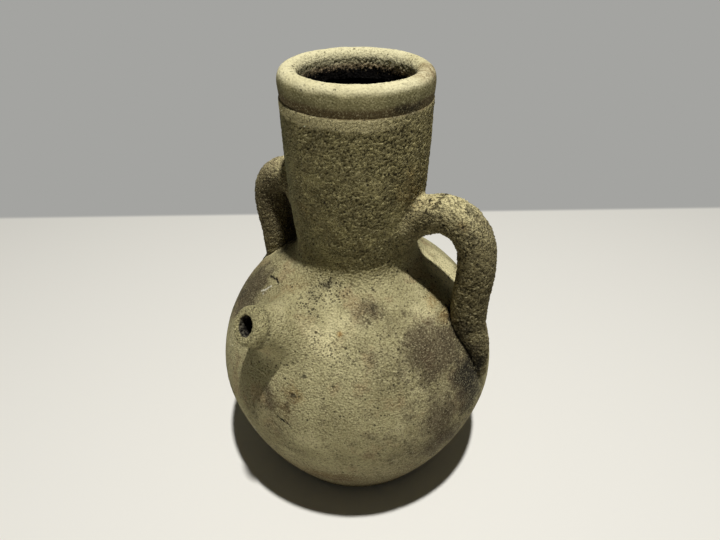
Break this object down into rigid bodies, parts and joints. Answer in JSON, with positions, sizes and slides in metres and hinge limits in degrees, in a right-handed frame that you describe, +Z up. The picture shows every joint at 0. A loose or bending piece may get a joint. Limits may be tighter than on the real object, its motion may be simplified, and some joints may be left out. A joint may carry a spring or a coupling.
{
  "type": "clay water jug",
  "caption": "Hand-made clay water jug: round belly, tall tapered neck with a rolled lip, a rod handle on each side and a short pouring spout.",
  "frame": {"origin": "middle of the flat foot, on the surface that the jug stands on", "axes": "+Z up along the axis of the neck, +X towards the handle that stands out further, the spout leans out towards -Y and a little towards -X"},
  "size_m": [0.1417, 0.1434, 0.2101],
  "materials": {
    "belly_clay": "unglazed fired clay, fine grain, dull",
    "neck_clay": "unglazed fired clay, coarse and pitted, dull",
    "rim_clay": "unglazed fired clay, smoothed by hand, dull",
    "luting_clay": "unglazed fired clay, smeared, dull",
    "spout_clay": "unglazed fired clay, coarse, dull",
    "handle_clay": "unglazed fired clay, coarse and cracked, dull"
  },
  "bodies": {
    "root": {"belly": "belly_clay", "neck": "neck_clay", "rim": "rim_clay", "neck_luting": "luting_clay", "spout": "spout_clay", "spout_luting": "luting_clay", "handle_right": "handle_clay", "handle_luting_right": "luting_clay", "handle_left": "handle_clay", "handle_luting_left": "luting_clay"}
  },
  "joints": []
}
